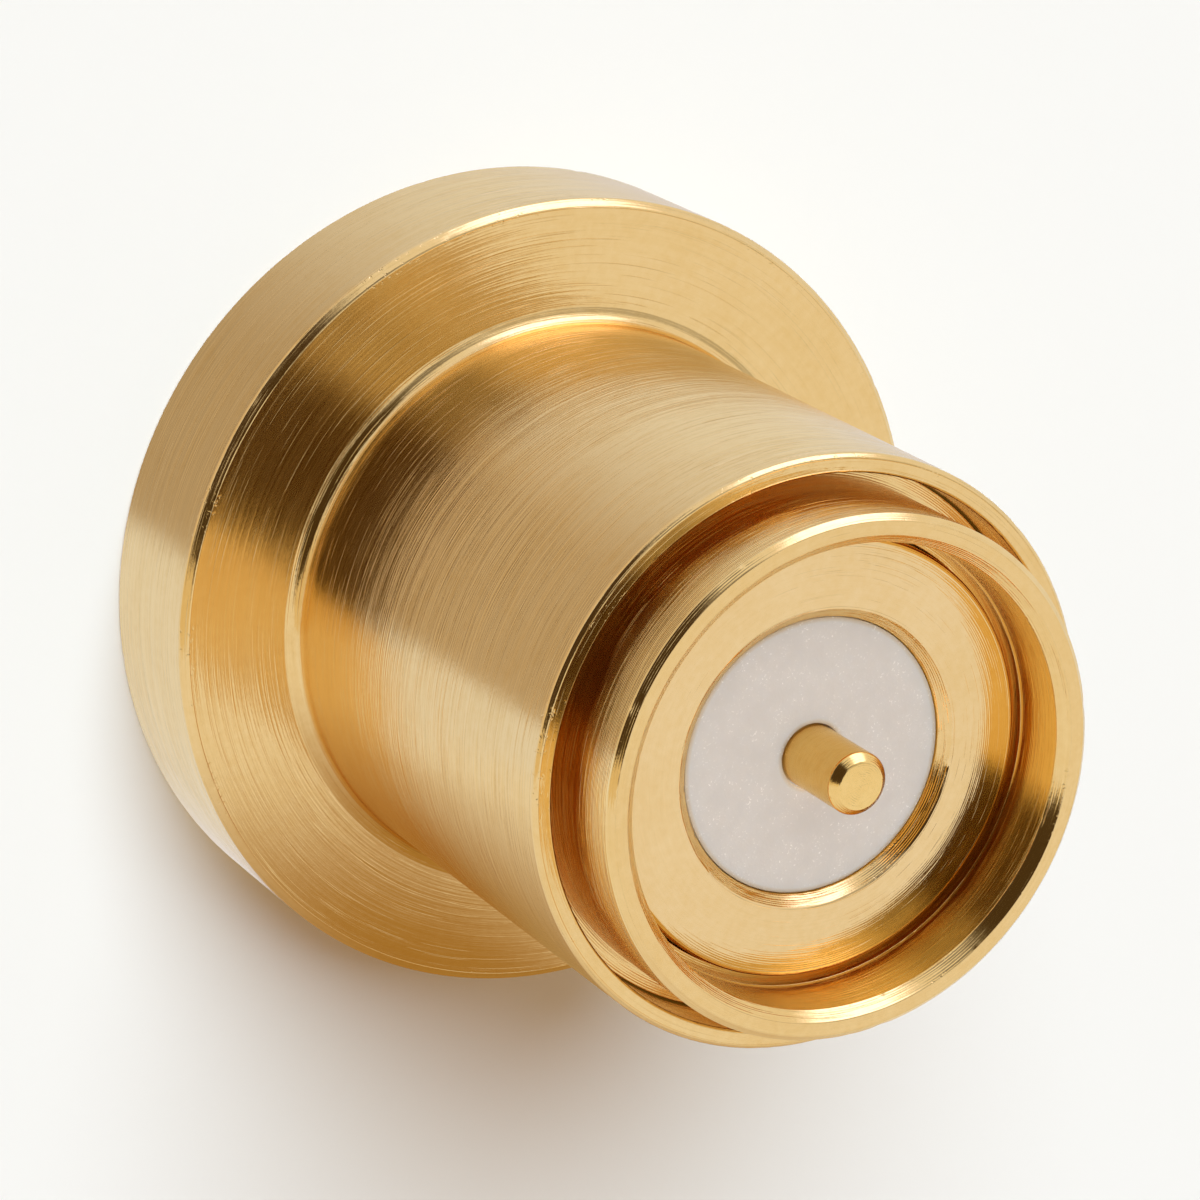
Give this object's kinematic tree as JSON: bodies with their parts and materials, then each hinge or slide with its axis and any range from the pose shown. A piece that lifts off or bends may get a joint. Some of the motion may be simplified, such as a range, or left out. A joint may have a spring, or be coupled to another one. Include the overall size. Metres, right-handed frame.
{
  "type": "fuzz button rf connector",
  "caption": "Flanged round coaxial connector in gold-plated brass with a floating sprung ground sleeve, a white dielectric and a sprung centre pin.",
  "frame": {"origin": "centre of the flange's rear face, on the connector's axis", "axes": "+Z along the axis, from the flange towards the front interface"},
  "size_m": [0.0126, 0.0126, 0.0117],
  "materials": {
    "gold_shell": "gold plate over fine turning lines, brushed walls",
    "gold_core": "gold plate over fine turning lines",
    "gold_collar": "gold plate, satin",
    "gold_sleeve": "gold plate over fine turning lines",
    "spring_steel": "bright drawn wire",
    "dielectric": "waxy off-white fluoropolymer with a turned face",
    "gold_tube": "gold plate, satin",
    "gold_pin": "gold plate over fine turning lines",
    "gold_wire": "gold-plated fine wire"
  },
  "bodies": {
    "shell": {"flanged_shell": "gold_shell", "core_bushing": "gold_core", "retaining_collar": "gold_collar", "front_insulator": "dielectric", "rear_insulator": "dielectric", "contact_tube": "gold_tube", "sleeve_spring": "spring_steel", "fuzz_button": "gold_wire", "rear_fuzz_button": "gold_wire"},
    "sleeve": {"ground_sleeve": "gold_sleeve"},
    "pin": {"contact_pin": "gold_pin"}
  },
  "joints": [
    {"name": "sleeve_slide", "type": "slide", "parent": "shell", "child": "sleeve", "axis": [0, 0, 1], "range_m": [-0.001, 0], "stiffness_N_per_m": 900, "springref_m": 0.0006, "deforming": ["sleeve_spring"]},
    {"name": "pin_slide", "type": "slide", "parent": "shell", "child": "pin", "axis": [0, 0, 1], "range_m": [-0.001, 0], "stiffness_N_per_m": 500, "springref_m": 0.0004, "deforming": ["fuzz_button"]}
  ]
}
